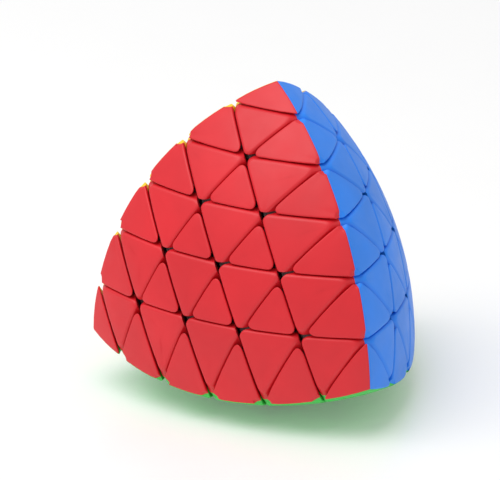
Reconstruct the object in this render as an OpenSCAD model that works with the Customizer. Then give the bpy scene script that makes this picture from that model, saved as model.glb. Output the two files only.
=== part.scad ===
// Pyramid twisty puzzle with six rows of triangles on each of four bulged faces.
// The origin is the centre of the core, where the four turning axes meet. +Z runs out
// through the top corner, and the red face looks along -Y.

/* [Overall] */
// Distance from the centre to each of the four corners
corner_r = 60; // [50:1:72]
// Radius of the sphere that each bulged face is part of
face_r = 104.5; // [96:0.5:126]

/* [Rows] */
// Share of a half edge that the corner tip takes
tip_share = 0.3; // [0.25:0.005:0.36]
// Share of a half edge that the third piece takes
third_share = 0.341; // [0.285:0.001:0.4]
// How far below the edge two crossing cuts already meet
cut_inset = 0.2; // [0:0.05:0.4]
// Width of the gap between neighbouring pieces
gap = 0.3; // [0.2:0.05:0.5]
// Width of the joint between two colours of one piece
colour_gap = 0.1; // [0.06:0.02:0.2]

/* [Shells and feet] */
// Thickness of the coloured shells
shell_t = 4; // [3.2:0.1:5]
// Clearance between a shell and the foot that it is pressed on
shell_fit = 0.05; // [0.02:0.01:0.1]
// How far a foot stands back from the cuts beside it
foot_inset = 0.5; // [0.4:0.05:0.8]

/* [Core] */
// Radius of the ball in the middle of the core
core_r = 12; // [10:0.5:14]
// Radius of the four core posts
post_r = 4; // [3.3:0.1:4.2]
// Radial clearance of what turns on a post
turn_fit = 0.06; // [0.03:0.01:0.1]
// Outer radius of the hollow track ball, as a share of the room inside the shells
track_share = 0.78; // [0.7:0.01:0.8]
// Wall thickness of the track ball
track_wall = 3.5; // [2:0.1:4]
// Radius of the shoulder on each post that carries the track ball
shoulder_r = 6.5; // [5.5:0.1:7.8]

/* [Third row hub] */
// Height of the flange above the bottom of the row
flange_lift = 5.5; // [4.6:0.1:6.6]
// Radius of the flange that hooks the feet of the third row
flange_r = 12; // [10:0.1:13]
// Thickness of the flange and of its rim
flange_t = 1.5; // [1.2:0.1:1.8]
// Height of the flange with its rim
flange_h = 4; // [3.4:0.1:4.8]
// Clearance around both flanges in the feet
hook_fit = 0.15; // [0.1:0.05:0.2]

/* [Second row hub] */
// Outer radius of the cup that turns under the screw
cup_r = 5.2; // [5:0.1:6.2]
// Radius of the hollow in the cup
cup_bore_r = 3.6; // [3.4:0.1:4]
// Thickness of the floor that the spring presses on
cup_floor = 2; // [1.6:0.1:2.4]
// Height of the collar above the bottom of the row
collar_lift = 1.6; // [1.3:0.1:1.9]
// Radius of the collar that hooks the edge feet
collar_r = 14; // [13.4:0.1:14.5]
// Thickness of the collar and of its rim
collar_t = 1.4; // [1.2:0.1:1.7]
// Height of the collar with its rim
collar_h = 2.6; // [2.2:0.1:3.1]

/* [Screw, washer and spring] */
// Radius of the screw's shank
screw_r = 1.5; // [1.25:0.05:1.6]
// Radius of the screw's head
head_r = 2.75; // [2.4:0.05:3]
// Height of the screw's head
head_h = 2; // [1.6:0.1:2.2]
// Depth that the screw reaches into its post
screw_bite = 13; // [10:0.5:15]
// Thickness of the washer under the head
washer_t = 0.5; // [0.4:0.1:0.6]
// Clearance around the washer and around the spring
loose_fit = 0.25; // [0.2:0.05:0.3]
// Radius of the spring wire
wire_r = 0.35; // [0.3:0.01:0.4]
// Rise of the spring in one turn
spring_pitch = 0.85; // [0.8:0.05:1]

/* [Tip plug] */
// Radius of the plug that holds a tip's three shells
plug_r = 3.4; // [3:0.1:3.6]
// Depth that the plug reaches into the tip
plug_h = 3.2; // [2.6:0.1:3.8]
// Length of the stem that turns in the cup below
stem_h = 1.5; // [1.2:0.1:1.6]
// Radius of the snap bead around the stem
bead_r = 0.25; // [0.2:0.05:0.3]

/* [Hidden] */
$fn = 180;
fine = 480;            // steps around the spheres of the small tips
far = 160;             // larger than the whole puzzle
mate = 0.15;           // clearance between pieces stacked along an axis
top = 0;
right = 1;
back = 2;
left = 3;
corner_names = ["top", "right", "back", "left"];
// A face is numbered by the corner opposite it
face_names = ["green", "yellow", "red", "blue"];
face_paint = ["limegreen", "gold", "crimson", "dodgerblue"];
row_names = ["tip", "second_row", "third_row"];
row_count = 6;
corner_rows = 3;       // rows that turn with each corner
black = [0.08, 0.08, 0.09];

// Angles of the four corner axes of a tetrahedron
tilt = acos(-1 / 3);
azimuths = [0, -30, 90, 210];
function corner_dir(i) = i == top ? [0, 0, 1]
    : [sin(tilt) * cos(azimuths[i]), sin(tilt) * sin(azimuths[i]), cos(tilt)];

// Each face's sphere is centred this far out towards the opposite corner
face_centre = -corner_r / 3 + sqrt(pow(corner_r, 2) / 9 - pow(corner_r, 2) + pow(face_r, 2));
face_h = face_r - face_centre;   // distance from the centre to the middle of a face

// An edge is an arc: its radius, and the angle from its middle to a corner
edge_r = sqrt(pow(face_r, 2) - 2 / 3 * pow(face_centre, 2));
edge_half = asin(sqrt(2 / 3) * corner_r / edge_r);
// Height along a corner's axis of the point on its edge at an angle from the edge's middle
function edge_level(angle) =
    (edge_r * cos(angle) - face_centre / sqrt(3)) / sqrt(3) + sqrt(2 / 3) * edge_r * sin(angle);
tip_angle = edge_half * (1 - tip_share);
third_angle = edge_half * third_share;

// The planes that bound the rows of every corner, from beyond the corner to beyond the face
cuts = [
    corner_r + 1,
    edge_level(tip_angle) - cut_inset,
    edge_level(third_angle) - cut_inset,
    edge_level(0) - cut_inset,
    edge_level(-third_angle) - cut_inset,
    edge_level(-tip_angle) - cut_inset,
    -face_h - 1
];
function row_low(row) = cuts[row] + gap / 2;
function row_high(row) = cuts[row - 1] - gap / 2;

// Levels along a corner's axis, from the core outwards
track_r = track_share * (face_h - shell_t);
shoulder_top = sqrt(pow(track_r - track_wall - shell_fit, 2) - pow(shoulder_r, 2));
post_top = row_low(2) - mate;
spring_low = row_low(2) + cup_floor;
stem_low = row_low(1) - stem_h - mate;
bead_level = stem_low + 2 * bead_r;
head_low = stem_low - mate - head_h;
spring_high = head_low - washer_t;
stem_r = cup_bore_r - turn_fit;
spring_r = cup_bore_r - wire_r - 2 * loose_fit;
// The third row's hub fits inside the feet that stand around it
hub_r = (row_low(5) + row_low(3) / 3) / sin(tilt) - mate;

// The faces that a corner touches are all but the one opposite it
function faces_of(corner) = [for (f = [0:3]) if (f != corner) f];

// A piece is a list of four row numbers, one counted from each corner. The four numbers
// sum to 19 for a piece whose triangles point to the corners, to 20 for one whose triangles
// point away from them, and to 21 for one hidden between those.
function pieces(sum) = [
    for (a = [1:row_count]) for (b = [1:row_count]) for (c = [1:row_count])
        let (d = sum - a - b - c) if (d >= 1 && d <= row_count) [a, b, c, d]
];
shown_pieces = concat(pieces(19), pieces(20));
hidden_pieces = pieces(21);
// The piece on a corner's axis in one of its rows
function axis_piece(corner, row) = [for (c = [0:3]) c == corner ? row : row_count];
function touches(p, face) = p[face] == row_count;
function is_outer(p) = max(p) == row_count;
function is_middle(p) = min(p) > corner_rows;
function others(p, face) = [for (f = [0:3]) if (f != face && touches(p, f)) f];

// Turns the children so that their +Z lies along a direction
module aim(d) rotate([0, acos(d[2] / norm(d)), atan2(d[1], d[0])]) children();
module along(corner) aim(corner_dir(corner)) children();

// The space between two levels along a direction
module between(d, low, high)
    aim(d) translate([-far, -far, low]) cube([2 * far, 2 * far, high - low]);

// The space between the cuts around a piece, drawn back by an inset
module cell(p, inset = 0)
    intersection_for (c = [0:3])
        between(corner_dir(c), row_low(p[c]) + inset, row_high(p[c]) - inset);

// The ball that a face is part of, made smaller by a depth
module face_ball(face, deep = 0)
    along(face) translate([0, 0, face_centre]) rotate([0, -90, 0]) sphere(r = face_r - deep);

// The part of a piece's shell that shows one face's colour
module shell(p, face)
    difference() {
        intersection() {
            cell(p);
            face_ball(face);
        }
        face_ball(face, shell_t);
        for (f = others(p, face))
            between(corner_dir(f) - corner_dir(face), -far, colour_gap / 2);
    }

// The space inside all the shells
module inside() intersection_for (f = [0:3]) face_ball(f, shell_t + shell_fit);

// The inner part of a piece, under its shells
module foot(p)
    intersection() {
        cell(p, foot_inset);
        inside();
    }

// The coloured shells of one row of a corner, on one face
module row_shells(corner, row, face)
    color(face_paint[face])
        for (p = shown_pieces)
            if (p[corner] == row && touches(p, face))
                difference() {
                    shell(p, face, $fn = row == 1 ? fine : $fn);
                    if (row == 1) along(corner) plug_shape(shell_fit);
                    if (p == axis_piece(corner, 2)) along(corner) cup_shape(shell_fit);
                }

// The coloured shells that no corner turns, on one face
module middle_shells(face)
    color(face_paint[face])
        for (p = shown_pieces)
            if (is_middle(p) && touches(p, face)) shell(p, face);

// The plug in a tip and the cup under it, grown by a clearance
module plug_shape(grow = 0)
    translate([0, 0, row_low(1) - grow]) cylinder(r = plug_r + grow, h = plug_h + 2 * grow);
module cup_shape(grow = 0)
    translate([0, 0, row_low(2) - grow])
        cylinder(r = cup_r + grow, h = row_high(2) - row_low(2) + 2 * grow);

// A flange with a rim along its edge, grown by a clearance
module hook(level, r, t, h, grow = 0)
    rotate_extrude() {
        translate([0, level - grow]) square([r + grow, t + 2 * grow]);
        translate([r - t - grow, level - grow]) square([t + 2 * grow, h + 2 * grow]);
    }
module flange(grow = 0) hook(row_low(3) + flange_lift, flange_r, flange_t, flange_h, grow);
module collar(grow = 0) hook(row_low(2) + collar_lift, collar_r, collar_t, collar_h, grow);

// The third row's hub, which turns on the post, and the feet around it
module third_row_feet(corner)
    color(black) {
        difference() {
            union() {
                foot(axis_piece(corner, 3));
                along(corner) translate([0, 0, row_low(3)])
                    cylinder(r = hub_r, h = row_high(3) - row_low(3));
                intersection() {
                    along(corner) flange();
                    inside();
                }
            }
            along(corner) cylinder(r = post_r + turn_fit, h = far);
        }
        for (p = shown_pieces)
            if (p[corner] == 3)
                difference() {
                    foot(p);
                    along(corner) flange(hook_fit);
                }
    }

// The second row's hub, which turns under the screw, and the three edge feet around it
module second_row_feet(corner)
    color(black) {
        difference() {
            union() {
                foot(axis_piece(corner, 2));
                along(corner) cup_shape();
                intersection() {
                    along(corner) collar();
                    inside();
                }
            }
            along(corner) {
                translate([0, 0, spring_low]) cylinder(r = cup_bore_r, h = far);
                cylinder(r = screw_r + turn_fit, h = far);
                bead(turn_fit);
            }
        }
        for (p = shown_pieces)
            if (p[corner] == 2 && p != axis_piece(corner, 2))
                difference() {
                    foot(p);
                    along(corner) collar(hook_fit);
                }
    }

// The plug that holds a tip's shells, with the stem that turns in the cup
module tip_plug(corner)
    color(black) {
        foot(axis_piece(corner, 1));
        along(corner) {
            plug_shape();
            translate([0, 0, stem_low]) cylinder(r = stem_r, h = row_low(1) - stem_low);
            bead();
        }
    }
module bead(grow = 0)
    rotate_extrude() translate([stem_r, bead_level]) circle(r = bead_r + grow);

// The inner parts of the pieces that no corner turns, down to the track ball
module middle_feet()
    color(black)
        for (p = concat(shown_pieces, hidden_pieces))
            if (is_middle(p) && is_outer(p))
                difference() {
                    foot(p);
                    sphere(r = track_r + mate);
                    for (c = [0:3]) along(c) translate([0, 0, core_r])
                        cylinder(r = post_r + mate, h = far);
                }

// The ball with four posts that the whole puzzle is built on
module core_spider()
    color([0.75, 0.75, 0.72]) difference() {
        union() {
            sphere(r = core_r);
            for (c = [0:3]) along(c) translate([0, 0, core_r / 2]) {
                cylinder(r = post_r, h = post_top - core_r / 2);
                cylinder(r = shoulder_r, h = shoulder_top - core_r / 2);
            }
        }
        for (c = [0:3]) along(c) translate([0, 0, post_top - screw_bite - 1])
            cylinder(r = screw_r + shell_fit, h = far);
    }

// Half of the hollow ball that the middle pieces rest on. One post leaves the upper half
// and three leave the lower half.
module track_ball(side)
    color([0.2, 0.2, 0.22]) difference() {
        rotate_extrude() intersection() {
            difference() {
                circle(r = track_r);
                circle(r = track_r - track_wall);
            }
            translate([side > 0 ? post_r + mate : 0, side > 0 ? shell_fit / 2 : -far])
                square([far, far - shell_fit / 2]);
        }
        if (side < 0)
            for (c = [right, back, left]) along(c) translate([0, 0, core_r])
                cylinder(r = post_r + mate, h = track_r);
    }

// Four screws, one down each post
module post_screws()
    color("silver") for (c = [0:3]) along(c) difference() {
        union() {
            translate([0, 0, post_top - screw_bite])
                cylinder(r = screw_r, h = head_low - post_top + screw_bite + head_h / 4);
            translate([0, 0, head_low]) cylinder(r = head_r, h = head_h);
        }
        translate([0, 0, head_low + head_h / 2]) cylinder(r = head_r / 2, h = head_h, $fn = 6);
    }

// Four washers, one under each screw head
module post_washers()
    color("lightgrey") for (c = [0:3]) along(c) translate([0, 0, spring_high]) difference() {
        cylinder(r = cup_bore_r - loose_fit, h = washer_t);
        translate([0, 0, -1]) cylinder(r = screw_r + shell_fit, h = washer_t + 2);
    }

// Four compression springs, one between each washer and the cup's floor
wire_sides = 8;
turn_steps = 12;
coil_rise = spring_high - spring_low - 2 * wire_r;
coil_steps = floor(coil_rise / spring_pitch) * turn_steps;
function wire_point(step, side) =
    let (turn = 360 * step / turn_steps, around = 360 * side / wire_sides,
         r = spring_r + wire_r * cos(around))
    [r * cos(turn), r * sin(turn),
     spring_low + wire_r + coil_rise * step / coil_steps + wire_r * sin(around)];
module post_springs() {
    points = [for (s = [0:coil_steps]) for (k = [0:wire_sides - 1]) wire_point(s, k)];
    bands = [for (s = [0:coil_steps - 1]) for (k = [0:wire_sides - 1])
        let (a = s * wire_sides + k, b = s * wire_sides + (k + 1) % wire_sides)
        [a, a + wire_sides, b + wire_sides, b]];
    ends = [[for (k = [0:wire_sides - 1]) k],
            [for (k = [wire_sides - 1:-1:0]) coil_steps * wire_sides + k]];
    color("silver") for (c = [0:3]) along(c) polyhedron(points, concat(bands, ends));
}

for (c = [0:3]) {
    for (r = [0:2]) for (f = faces_of(c))
        row_shells(c, r + 1, f);
    third_row_feet(c);
    second_row_feet(c);
    tip_plug(c);
}
for (f = [0:3])
    middle_shells(f);
middle_feet();
core_spider();
track_ball(1);  // track_ball_upper
track_ball(-1);  // track_ball_lower
post_screws();
post_springs();
post_washers();
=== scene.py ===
# %% [markdown]
# # A six-row pyramid twisty puzzle
# The real object is a pyramid of 86 moulded pieces that turn in rows about its four corners. Each
# face bulges like part of a ball, and each piece shows one, two or three colours. The engineering
# model gives us the exact places of the cuts, the black feet and the mechanism. This lesson makes the
# part that the eye meets: the rounded, coloured shells, their plastic, and the light on them.
# We start by loading the engineering model as a frame. Everything is in metres, with the origin at
# the centre of the core and +Z out through the top corner.

import math
from itertools import permutations, product

import bpy
import numpy as np
from mathutils import Matrix, Vector


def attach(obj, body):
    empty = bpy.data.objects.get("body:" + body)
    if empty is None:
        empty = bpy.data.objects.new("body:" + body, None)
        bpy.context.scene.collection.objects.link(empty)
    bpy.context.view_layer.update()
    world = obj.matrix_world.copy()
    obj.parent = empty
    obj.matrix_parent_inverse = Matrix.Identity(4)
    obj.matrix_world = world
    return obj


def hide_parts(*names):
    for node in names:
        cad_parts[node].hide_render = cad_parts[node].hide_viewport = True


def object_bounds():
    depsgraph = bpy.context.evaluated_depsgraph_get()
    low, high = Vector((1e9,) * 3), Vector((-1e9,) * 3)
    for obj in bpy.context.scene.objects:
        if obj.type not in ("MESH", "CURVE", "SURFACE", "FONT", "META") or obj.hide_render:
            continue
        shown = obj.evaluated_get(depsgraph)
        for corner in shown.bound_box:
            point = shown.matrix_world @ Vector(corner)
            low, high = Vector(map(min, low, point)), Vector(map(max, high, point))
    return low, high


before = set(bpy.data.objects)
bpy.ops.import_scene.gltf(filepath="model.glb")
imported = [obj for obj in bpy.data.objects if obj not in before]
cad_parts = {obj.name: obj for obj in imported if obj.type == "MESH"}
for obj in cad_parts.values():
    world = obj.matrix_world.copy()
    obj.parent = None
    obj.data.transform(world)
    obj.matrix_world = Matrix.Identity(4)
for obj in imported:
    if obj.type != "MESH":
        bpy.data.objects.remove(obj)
cad_low, cad_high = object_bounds()
print("CAD box", [round(v, 4) for v in (*cad_low, *cad_high)])

# %% [markdown]
# ## The geometry that all the pieces share
# A pyramid of this kind is easiest to describe from its four corners. Any point has four levels, one
# along each corner's axis, and every cut is a flat plane at one level. A face is part of a big ball
# whose centre lies on the far side of the puzzle. We repeat the sizes that the CAD model uses, so
# that a shell made here drops exactly over the one that it replaces.

# %% Sizes and directions
CORNER_R = 0.060  # centre to corner
FACE_R = 0.1045  # radius of the ball behind each face
SKIN_R = FACE_R - 0.00002  # the shells made here stay just inside it
GAP = 0.0003  # between neighbouring pieces
CUT_INSET = 0.0002
TIP_SHARE, THIRD_SHARE = 0.3, 0.341
ROWS = 6
TURNING_ROWS = 3

CORNERS = ["top", "right", "back", "left"]
COLOURS = ["green", "yellow", "red", "blue"]  # a face has the number of the corner opposite
ROW_NAMES = ["tip", "second_row", "third_row"]

tilt = math.acos(-1 / 3)
AXES = [Vector((0, 0, 1))] + [
    Vector((math.sin(tilt) * math.cos(a), math.sin(tilt) * math.sin(a), -1 / 3))
    for a in map(math.radians, (-30, 90, 210))
]
face_centre = -CORNER_R / 3 + math.sqrt(CORNER_R**2 / 9 - CORNER_R**2 + FACE_R**2)
BALLS = [axis * face_centre for axis in AXES]
edge_r = math.sqrt(FACE_R**2 - 2 / 3 * face_centre**2)
edge_half = math.asin(math.sqrt(2 / 3) * CORNER_R / edge_r)


def edge_level(angle):
    """Level along a corner's axis of the point on its edge at an angle from the edge's middle."""
    return (edge_r * math.cos(angle) - face_centre / math.sqrt(3)) / math.sqrt(3) + math.sqrt(
        2 / 3
    ) * edge_r * math.sin(angle)


tip_angle = edge_half * (1 - TIP_SHARE)
third_angle = edge_half * THIRD_SHARE
CUTS = [edge_level(a) - CUT_INSET for a in (tip_angle, third_angle, 0, -third_angle, -tip_angle)]
print("cut levels in mm", [round(c * 1000, 2) for c in CUTS])

# %% [markdown]
# ## Naming the pieces
# Four row numbers, one counted from each corner, name a piece. They add up to 19 for a piece whose
# triangles point to the corners, and to 20 for one whose triangles point away from them. A piece
# touches the faces where its row number is 6.

# %% List the pieces
PIECES = [p for p in product(range(1, ROWS + 1), repeat=4) if sum(p) in (19, 20) and ROWS in p]


def faces_of(piece):
    return [f for f in range(4) if piece[f] == ROWS]


def points_up(piece):
    return sum(piece) == 19


print(len(PIECES), "outer pieces,", sum(len(faces_of(p)) for p in PIECES), "coloured tiles")

# %% [markdown]
# ## Shaping one shell
# Each shell starts as a plain cube that is far too big. Bisecting it with the cut planes of its piece,
# and with a plane that just touches the face, leaves a small flat-topped block. That is how the real
# mould is cut too. Bisecting is better than placing corners by hand, because the walls come out
# exactly along the cuts, leaning by the same angle as their neighbours'.

# %% A block between planes
SHELL_T = 0.0039  # a little less than the CAD shell, so that it never reaches into the foot
START = 0.4  # side of the cube that each block is cut from
BLOCK_DEPTH = 0.008  # deeper than any shell


def into_edit(select="SELECT"):
    bpy.ops.object.mode_set(mode="EDIT")
    bpy.ops.mesh.select_all(action=select)


def slice_off(point, normal):
    """Cuts away the side that the normal points to, and closes the cut."""
    bpy.ops.mesh.select_all(action="SELECT")
    bpy.ops.mesh.bisect(plane_co=point, plane_no=normal, use_fill=True, clear_outer=True)


def wall_planes(piece, faces):
    """(point, outward normal) of each cut that bounds a piece's shells on these faces."""
    for c, (axis, row) in enumerate(zip(AXES, piece)):
        if c in faces:
            continue
        if points_up(piece):
            yield axis * (CUTS[row - 1] + GAP / 2), -axis
        else:
            yield axis * (CUTS[row - 2] - GAP / 2), axis


def hidden_planes(piece, faces):
    """(point, outward normal) of the far cut of each row, which only trims a piece's corners."""
    for c, (axis, row) in enumerate(zip(AXES, piece)):
        if c in faces:
            continue
        if points_up(piece) and row > 1:
            yield axis * (CUTS[row - 2] - GAP / 2), axis
        elif not points_up(piece) and row < ROWS:
            yield axis * (CUTS[row - 1] + GAP / 2), -axis


def tile_middle(piece, face):
    """The point on the face's ball above the middle of a piece."""
    levels = [0.0] * 4
    for c, row in enumerate(piece):
        low = CUTS[row - 1] if row < ROWS else -CORNER_R / 3
        high = CUTS[row - 2] if row > 1 else CORNER_R
        levels[c] = (low + high) / 2
    levels[face] = -sum(levels[c] for c in range(4) if c != face)
    inner = sum((AXES[c] * levels[c] for c in range(4)), Vector()) * 0.75
    return BALLS[face] + (inner - BALLS[face]).normalized() * SKIN_R


def outward(face, middles):
    return (middles[face] - BALLS[face]).normalized()


def block(piece, faces, middles):
    """The outer part of a piece as a block, with a flat plane in place of each bulged face."""
    bpy.ops.object.select_all(action="DESELECT")
    bpy.ops.mesh.primitive_cube_add(size=START, location=(0, 0, 0))
    into_edit()
    for point, normal in wall_planes(piece, faces):
        slice_off(point, normal)
    for f in faces:
        slice_off(middles[f], outward(f, middles))
    if not points_up(piece):
        up = outward(faces[0], middles)
        slice_off(middles[faces[0]] - up * BLOCK_DEPTH, -up)
    bpy.ops.object.mode_set(mode="OBJECT")
    return bpy.context.object


# %% [markdown]
# ## Rounding a shell
# Moulded tiles have two kinds of rounding. The upright corners, where six tiles meet, are rounded a
# lot, which leaves the small openings between them. The rim around each tile and the ridge between
# two colours are rounded a little. So there are two bevels: first the upright edges between two
# walls, then, once the far cuts have trimmed the block, everything that borders an outer face. The
# edges are picked by the directions of the faces beside them, as one would pick them by eye.

# %% Two bevels
CORNER_BEVEL, CORNER_STEPS = 0.0028, 5
RIM_BEVEL, RIM_STEPS = 0.0008, 4
SAME_WAY = 0.9999  # cosine above which two directions count as one


def kinds_beside(mesh, ups):
    """{edge: kinds of the faces beside it}, each "outer", "under" or "wall"."""
    beside = {}
    for poly in mesh.polygons:
        kind = "wall"
        if any(poly.normal.dot(up) > SAME_WAY for up in ups):
            kind = "outer"
        elif any(poly.normal.dot(up) < -SAME_WAY for up in ups):
            kind = "under"
        for key in poly.edge_keys:
            beside.setdefault(key, []).append(kind)
    return beside


def bevel_where(obj, wanted, ups, width, steps):
    """Bevels the edges whose neighbouring faces are of the wanted kinds."""
    mesh = obj.data
    beside = kinds_beside(mesh, ups)
    into_edit("DESELECT")
    bpy.ops.mesh.select_mode(type="EDGE")
    bpy.ops.object.mode_set(mode="OBJECT")
    chosen = 0
    for edge in mesh.edges:
        edge.select = wanted(beside[edge.key])
        chosen += edge.select
    if chosen:
        bpy.ops.object.mode_set(mode="EDIT")
        bpy.ops.mesh.bevel(offset=width, segments=steps, affect="EDGES", clamp_overlap=False)
        bpy.ops.object.mode_set(mode="OBJECT")


# %% [markdown]
# ## Splitting by colour, and bulging
# A piece on an edge of the pyramid is one block with two or three colours, so its rounded ridge is
# shaped once and then split down the middle. Each colour is cut off about four millimetres below the
# surface, where the black foot begins. Only then is the block bulged: a simple subdivision adds points
# without changing the shape, and each point sinks as far as the ball behind its face falls away from
# the touching plane. Walls that lean in would be pushed past their cut by this, and the shell would
# catch its neighbours when a row turns, so near them a point has to slide along the wall as well. Each
# of these is one wish about the way a point moves, and the least-squares answer to all of them, which
# numpy finds, meets up to three exactly. The last few hundredths are clipped to the cut planes.

# %% Colour parts and the bulge
COLOUR_GAP = 0.00002  # from each colour to the plane between two
SMOOTH_LEVELS = 2
FADE_FROM, FADE_TO = 0.001, 0.0038  # depth at which the sinking starts and ends to fade
NEAR_FROM, NEAR_TO = 0.001, 0.003  # from a wall, where its points begin and cease to slide along it
EASE = 0.004  # a slight wish to stay put, for points that nothing else moves
SHARP = math.radians(38)
FLAT_WEIGHT = 80  # how strongly big faces set the normals


def mirror_planes(piece, face):
    """(point, outward normal) of the planes between a face's colour and the others of its piece."""
    for other in faces_of(piece):
        if other != face:
            normal = (AXES[face] - AXES[other]).normalized()
            yield -normal * COLOUR_GAP, normal


def bulge(mesh, middles, faces, walls, limits):
    """Sinks each face from its flat plane to its ball, sliding along the walls, inside the limits."""
    points = np.empty(len(mesh.vertices) * 3)
    mesh.vertices.foreach_get("co", points)
    points = points.reshape(-1, 3)
    wishes = []  # (weight, direction, distance to move that way) for every point
    for f in faces:
        up = np.array(outward(f, middles))
        from_centre = points - np.array(BALLS[f])
        height = from_centre @ up
        aside = from_centre - np.outer(height, up)
        fade = np.clip((FADE_TO - (SKIN_R - height)) / (FADE_TO - FADE_FROM), 0, 1)
        wishes.append((fade, up, fade * (np.sqrt(SKIN_R**2 - (aside**2).sum(1)) - SKIN_R)))
    for point, normal in walls:
        inside = (np.array(point) - points) @ np.array(normal)
        near = np.clip((NEAR_TO - inside) / (NEAR_TO - NEAR_FROM), 0, 1)
        wishes.append((near, np.array(normal), np.zeros(len(points))))
    squares = np.tile(EASE * np.eye(3), (len(points), 1, 1))
    sums = np.zeros((len(points), 3))
    for weight, way, distance in wishes:
        squares += (weight**2)[:, None, None] * np.outer(way, way)
        sums += (weight**2 * distance)[:, None] * way
    points += np.linalg.solve(squares, sums[:, :, None])[:, :, 0]
    for point, normal in limits:
        past = np.clip((points - np.array(point)) @ np.array(normal), 0, None)
        points -= np.outer(past, normal)
    mesh.vertices.foreach_set("co", points.ravel())
    mesh.update()


def use_modifier(obj, kind, **settings):
    modifier = obj.modifiers.new(kind.lower(), kind)
    for key, value in settings.items():
        setattr(modifier, key, value)
    bpy.context.view_layer.objects.active = obj
    bpy.ops.object.modifier_apply(modifier=modifier.name)


def colour_part(rounded, piece, face, middles, faces):
    """One colour's shell, cut from a copy of the rounded block."""
    part = rounded.copy()
    part.data = rounded.data.copy()
    bpy.context.collection.objects.link(part)
    bpy.ops.object.select_all(action="DESELECT")
    bpy.context.view_layer.objects.active = part
    part.select_set(True)
    into_edit()
    for point, normal in mirror_planes(piece, face):
        slice_off(point, normal)
    down = -outward(face, middles)
    slice_off(middles[face] + down * SHELL_T, down)
    bpy.ops.object.mode_set(mode="OBJECT")
    levels = {"levels": SMOOTH_LEVELS, "render_levels": SMOOTH_LEVELS}
    use_modifier(part, "SUBSURF", subdivision_type="SIMPLE", **levels)
    walls = list(wall_planes(piece, faces))
    limits = [*walls, *hidden_planes(piece, faces), *mirror_planes(piece, face)]
    bulge(part.data, middles, faces, walls if points_up(piece) else [], limits)
    return part


def shells_of(piece):
    """{face: shell object} of one piece."""
    faces = faces_of(piece)
    made = {}
    for group in [faces] if points_up(piece) else [[f] for f in faces]:
        middles = {f: tile_middle(piece, f) for f in group}
        ups = [outward(f, middles) for f in group]
        rounded = block(piece, group, middles)
        bevel_where(rounded, lambda kinds: set(kinds) == {"wall"}, ups, CORNER_BEVEL, CORNER_STEPS)
        into_edit()
        for point, normal in hidden_planes(piece, group):
            slice_off(point, normal)
        bpy.ops.object.mode_set(mode="OBJECT")
        bevel_where(rounded, lambda kinds: "outer" in kinds, ups, RIM_BEVEL, RIM_STEPS)
        for f in group:
            made[f] = colour_part(rounded, piece, f, middles, group)
        bpy.data.objects.remove(rounded)
    return made


# %% [markdown]
# ## Copying the shells around the pyramid
# A pyramid looks the same after any of its twelve rotations, so the 86 pieces fall into nine kinds.
# Each kind is shaped once. A rotation swaps the corners among themselves, which tells us both the
# matrix to turn the copy by and the name of the piece that the copy becomes.

# %% Shape the nine kinds and copy them
def is_rotation(order):
    swaps = sum(order[a] > order[b] for a in range(4) for b in range(a + 1, 4))
    return swaps % 2 == 0


def turn_matrix(order):
    """The rotation that carries corner i's axis to corner order[i]'s."""
    turned = sum(
        (np.outer(AXES[order[i]], AXES[i]) for i in range(4)),
        np.zeros((3, 3)),
    )
    return Matrix((turned * 0.75).tolist()).to_4x4()


TURNS = [order for order in permutations(range(4)) if is_rotation(order)]


def home_of(piece):
    """(corner, row) of the row that a piece turns with, or None in the middle."""
    row = min(piece)
    return (piece.index(row), row) if row <= TURNING_ROWS else None


shell_groups = {}
shaped = set()
for piece in PIECES:
    if piece in shaped:
        continue
    first = shells_of(piece)
    for order in TURNS:
        copy_of = tuple(piece[order.index(c)] for c in range(4))
        if copy_of in shaped:
            continue
        shaped.add(copy_of)
        for face, shell in first.items():
            twin = shell.data.copy()
            twin.transform(turn_matrix(order))
            shell_groups.setdefault((home_of(copy_of), order[face]), []).append(twin)
    for shell in first.values():
        bpy.data.objects.remove(shell)
print(len(shell_groups), "groups of shells for", len(shaped), "pieces")

# %% [markdown]
# ## One object for each row and colour
# The shells of one row and one colour turn together, so they are joined into one object. Smooth
# shading would smear light over the rims, so edges sharper than 38 degrees stay sharp and the
# normals are weighted by area, which keeps each tile's middle calm and puts the curve in its rim.

# %% Join, smooth and hand over to the frame
def as_object(name, meshes):
    """One object at the origin made of the meshes, joined and smooth."""
    bpy.ops.object.select_all(action="DESELECT")
    for mesh in meshes:
        obj = bpy.data.objects.new(name, mesh)
        bpy.context.collection.objects.link(obj)
        obj.select_set(True)
        bpy.context.view_layer.objects.active = obj
    bpy.ops.object.join()
    joined = bpy.context.object
    joined.name = joined.data.name = name
    into_edit()
    bpy.ops.mesh.normals_make_consistent(inside=False)
    bpy.ops.object.mode_set(mode="OBJECT")
    bpy.ops.object.shade_smooth_by_angle(angle=SHARP)
    use_modifier(joined, "WEIGHTED_NORMAL", keep_sharp=True, weight=FLAT_WEIGHT)
    return joined


shells = {}
for (home, face), meshes in shell_groups.items():
    colour = COLOURS[face]
    if home:
        corner, row = home
        body = f"{CORNERS[corner]}_{ROW_NAMES[row - 1]}"
        node = f"{body}_{colour}"
    else:
        body, node = "middle", f"middle_{colour}"
    shell = as_object(f"{node}_shells", meshes)
    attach(shell, body)
    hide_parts(node)
    shells.setdefault(colour, []).append(shell)
triangles = sum(len(p.vertices) - 2 for group in shells.values() for o in group for p in o.data.polygons)
print(sum(map(len, shells.values())), "shell objects,", triangles, "triangles")

# %% [markdown]
# ## Writing materials as sums
# A material is a little calculation at every point of a surface. Written as nodes and links it is
# hard to read, so one small class stands for a socket and lets us write it as Python: a * b adds a
# Multiply node. Any other node comes from its node method.

# %% A socket that can be calculated with
NOISE_LOW, NOISE_HIGH = 0.3, 0.7


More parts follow.
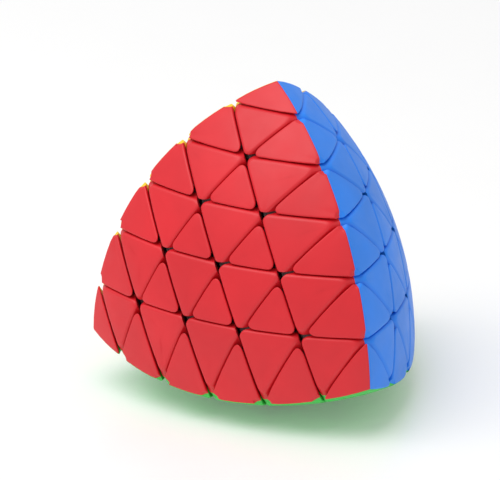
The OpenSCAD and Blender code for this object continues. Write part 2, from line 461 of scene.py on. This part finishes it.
class Wire:
    """An output socket of a material's node tree."""

    def __init__(self, tree, socket=None):
        self.tree, self.socket = tree, socket

    def node(self, kind, settings=None, out=0, **inputs):
        """Adds a node. Settings go on the node, stops on its ramp, and inputs on its sockets."""
        made = self.tree.nodes.new(kind)
        for key, value in (settings or {}).items():
            if key == "stops":
                ramp = made.color_ramp.elements
                while len(ramp) < len(value):
                    ramp.new(0.5)
                for element, (place, shade) in zip(ramp, value):
                    element.position, element.color = place, shade
            else:
                setattr(made, key, value)
        for key, value in inputs.items():
            slot = int(key[1:]) if key[1:].isdigit() else key.replace("_", " ")
            if isinstance(value, Wire):
                self.tree.links.new(value.socket, made.inputs[slot])
            else:
                made.inputs[slot].default_value = value
        return Wire(self.tree, made.outputs[out])

    def math(self, operation, a, b=0.0):
        return self.node("ShaderNodeMath", {"operation": operation}, i0=a, i1=b)

    def __add__(self, other):
        return self.math("ADD", self, other)

    def __sub__(self, other):
        return self.math("SUBTRACT", self, other)

    def __rsub__(self, other):
        return self.math("SUBTRACT", other, self)

    def __mul__(self, other):
        return self.math("MULTIPLY", self, other)

    __radd__, __rmul__ = __add__, __mul__

    def mix(self, dark, light):
        """The colour between two, by this wire's value."""
        return self.node("ShaderNodeMix", {"data_type": "RGBA"}, out=2, i0=self, i6=dark, i7=light)

    def noise(self, place, scale, detail=3.0, rough=0.5):
        return self.node("ShaderNodeTexNoise", Vector=place, Scale=scale, Detail=detail, Roughness=rough)

    def spread(self, to_low=0.0, to_high=1.0):
        """A noise's usual values, NOISE_LOW to NOISE_HIGH, stretched to run from to_low to to_high."""
        span = {"i1": NOISE_LOW, "i2": NOISE_HIGH, "i3": to_low, "i4": to_high}
        return self.node("ShaderNodeMapRange", i0=self, **span)


def new_material(name):
    """(material, wire to build with, object coordinates, Principled shader)"""
    material = bpy.data.materials.new(name)
    material.use_nodes = True
    tree = material.node_tree
    shader = tree.nodes["Principled BSDF"]
    wire = Wire(tree)
    return material, wire, wire.node("ShaderNodeTexCoord", out=3), shader


def feed(shader, **values):
    """Links or sets the shader's sockets."""
    for key, value in values.items():
        socket = shader.inputs[key.replace("_", " ")]
        if isinstance(value, Wire):
            shader.id_data.links.new(value.socket, socket)
        else:
            socket.default_value = value


def shade(colour, by):
    """A colour made lighter or darker by a factor."""
    return (*(min(1.0, c * by) for c in colour[:3]), 1.0)


# %% [markdown]
# ## Satin shell plastic
# The shells are dyed ABS from a finely blasted mould: no paint, a soft sheen, and a grain that is only
# seen where light grazes it. Three things keep such plastic from looking like a flat colour: the dye
# flows a little unevenly, the sheen changes where fingers have polished it, and the mould's grain
# breaks up the highlight. All three come from noise in object coordinates, so they stay put on a
# shell while it turns.

# %% Shell plastic
GRAIN = 2600.0  # per metre, about 0.4 mm
FLOW = 55.0
TOUCH = 120.0


def shell_plastic(name, dye, rough=0.46):
    material, wire, place, shader = new_material(name)
    flow = wire.noise(place, FLOW, 2.0)
    touch = wire.noise(place, TOUCH, 4.0, 0.6)
    grain = wire.noise(place, GRAIN, 2.0, 0.6)
    feed(
        shader,
        Base_Color=flow.spread().mix(shade(dye, 0.93), shade(dye, 1.06)),
        Roughness=touch.spread(rough - 0.05, rough + 0.06) + grain * 0.03,
        Normal=wire.node("ShaderNodeBump", Strength=0.12, Distance=0.00004, Height=grain),
        Specular_IOR_Level=0.5,
        IOR=1.53,
    )
    return material


DYES = {
    "red": (0.69, 0.009, 0.018, 1),
    "blue": (0.010, 0.23, 0.90, 1),
    "yellow": (0.90, 0.62, 0.02, 1),
    "green": (0.05, 0.58, 0.08, 1),
}
for colour, group in shells.items():
    plastic = shell_plastic(f"{colour}_shell_plastic", DYES[colour])
    for shell in group:
        shell.data.materials.clear()
        shell.data.materials.append(plastic)

# %% [markdown]
# ## The parts inside
# The feet, the track ball, the core and the metal parts keep their CAD shapes. They show only through
# the openings and when a row turns, yet each needs a real finish: greyish nylon for the feet, which
# is slightly waxy, a pale core with flow marks, and bright turned steel.

# %% Inner finishes
def inner_plastic(name, dye, rough, patch=180.0):
    material, wire, place, shader = new_material(name)
    patches = wire.noise(place, patch, 3.0, 0.55)
    grain = wire.noise(place, 1800.0, 2.0)
    feed(
        shader,
        Base_Color=patches.spread().mix(shade(dye, 0.8), shade(dye, 1.2)),
        Roughness=patches.spread(rough - 0.06, rough + 0.08),
        Normal=wire.node("ShaderNodeBump", Strength=0.2, Distance=0.00006, Height=grain),
    )
    return material


def turned_steel(name):
    material, wire, place, shader = new_material(name)
    lines = wire.noise(place, 3200.0, 1.0)
    patches = wire.noise(place, 400.0, 3.0)
    feed(
        shader,
        Base_Color=patches.spread().mix((0.52, 0.52, 0.54, 1), (0.7, 0.7, 0.71, 1)),
        Metallic=1.0,
        Roughness=patches.spread(0.2, 0.34) + lines * 0.05,
        Normal=wire.node("ShaderNodeBump", Strength=0.15, Distance=0.00003, Height=lines),
    )
    return material


def repaint(node, material):
    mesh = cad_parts[node].data
    mesh.materials.clear()
    mesh.materials.append(material)


feet_plastic = inner_plastic("feet_plastic", (0.20, 0.17, 0.17, 1), 0.45)
core_plastic = inner_plastic("core_plastic", (0.6, 0.6, 0.57, 1), 0.4, 120.0)
track_plastic = inner_plastic("track_plastic", (0.13, 0.13, 0.14, 1), 0.35)
steel = turned_steel("screw_steel")
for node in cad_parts:
    if node.endswith("_feet") or node.endswith("_plug"):
        repaint(node, feet_plastic)
    elif node.startswith("track_ball"):
        repaint(node, track_plastic)
    elif node == "core_spider":
        repaint(node, core_plastic)
    elif node.startswith("post_"):
        repaint(node, steel)

# %% [markdown]
# ## Floor, light and camera
# The puzzle stands on a flat white sheet, far wider than the view, under a big soft lamp above and to
# the left, so that the red face grows darker to the lower right and the blue face catches a white sheen.
# The camera stands far away with a long lens, which keeps the rows nearly parallel.

# %% Floor
FLOOR_Z = cad_low.z
FLOOR_R = 2.5
bpy.ops.object.select_all(action="DESELECT")
bpy.ops.mesh.primitive_circle_add(vertices=96, radius=FLOOR_R, fill_type="NGON")
bpy.context.object.location.z = FLOOR_Z
floor = bpy.context.object
floor.name = "studio_floor"
material, wire, place, shader = new_material("white_sheet")
feed(
    shader,
    Base_Color=wire.noise(place, 3.0).spread().mix((0.86, 0.86, 0.86, 1), (0.88, 0.88, 0.88, 1)),
    Roughness=wire.noise(place, 40.0).spread(0.32, 0.4),
    Emission_Color=(1.0, 1.0, 1.0, 1),
    Emission_Strength=0.12,
)
floor.data.materials.append(material)

# %% Light
def soft_lamp(name, place, size, power, aim=(0, 0, 0)):
    lamp = bpy.data.lights.new(name, "AREA")
    lamp.shape, lamp.size, lamp.energy = "DISK", size, power
    obj = bpy.data.objects.new(name, lamp)
    obj.location = place
    obj.rotation_euler = (Vector(aim) - Vector(place)).to_track_quat("-Z", "Y").to_euler()
    bpy.context.collection.objects.link(obj)


world = bpy.data.worlds.new("white_studio")
bpy.context.scene.world = world
world.use_nodes = True
world.node_tree.nodes["Background"].inputs["Color"].default_value = (1, 1, 1, 1)
world.node_tree.nodes["Background"].inputs["Strength"].default_value = 0.62
soft_lamp("key_lamp", (-0.20, -0.30, 0.90), 1.1, 7.0)
bpy.context.scene.view_settings.view_transform = "Standard"

# %% Camera
DISTANCE = 3.0
VIEW_WIDTH = 0.1500  # metres across the view at the origin
VIEW_RIGHT = Vector((0.84973, 0.52709, -0.01196))
VIEW_DOWN = Vector((0.17960, -0.31072, -0.93338))
VIEW_INTO = Vector((-0.49569, 0.79097, -0.35869))
camera_data = bpy.data.cameras.new("camera")
camera = bpy.data.objects.new("camera", camera_data)
bpy.context.collection.objects.link(camera)
camera_data.sensor_width = 36.0
camera_data.lens = camera_data.sensor_width * DISTANCE / VIEW_WIDTH
camera_data.clip_start, camera_data.clip_end = 0.05, 50.0
SHIFT_RIGHT, SHIFT_DOWN = -0.0088, -0.0082  # from the origin to what the camera looks at
middle_of_view = VIEW_RIGHT * SHIFT_RIGHT + VIEW_DOWN * SHIFT_DOWN
turn = Matrix((VIEW_RIGHT, -VIEW_DOWN, -VIEW_INTO)).transposed().to_4x4()
camera.matrix_world = Matrix.Translation(middle_of_view - VIEW_INTO * DISTANCE) @ turn
bpy.context.scene.camera = camera
print("lens", round(camera_data.lens), "mm")
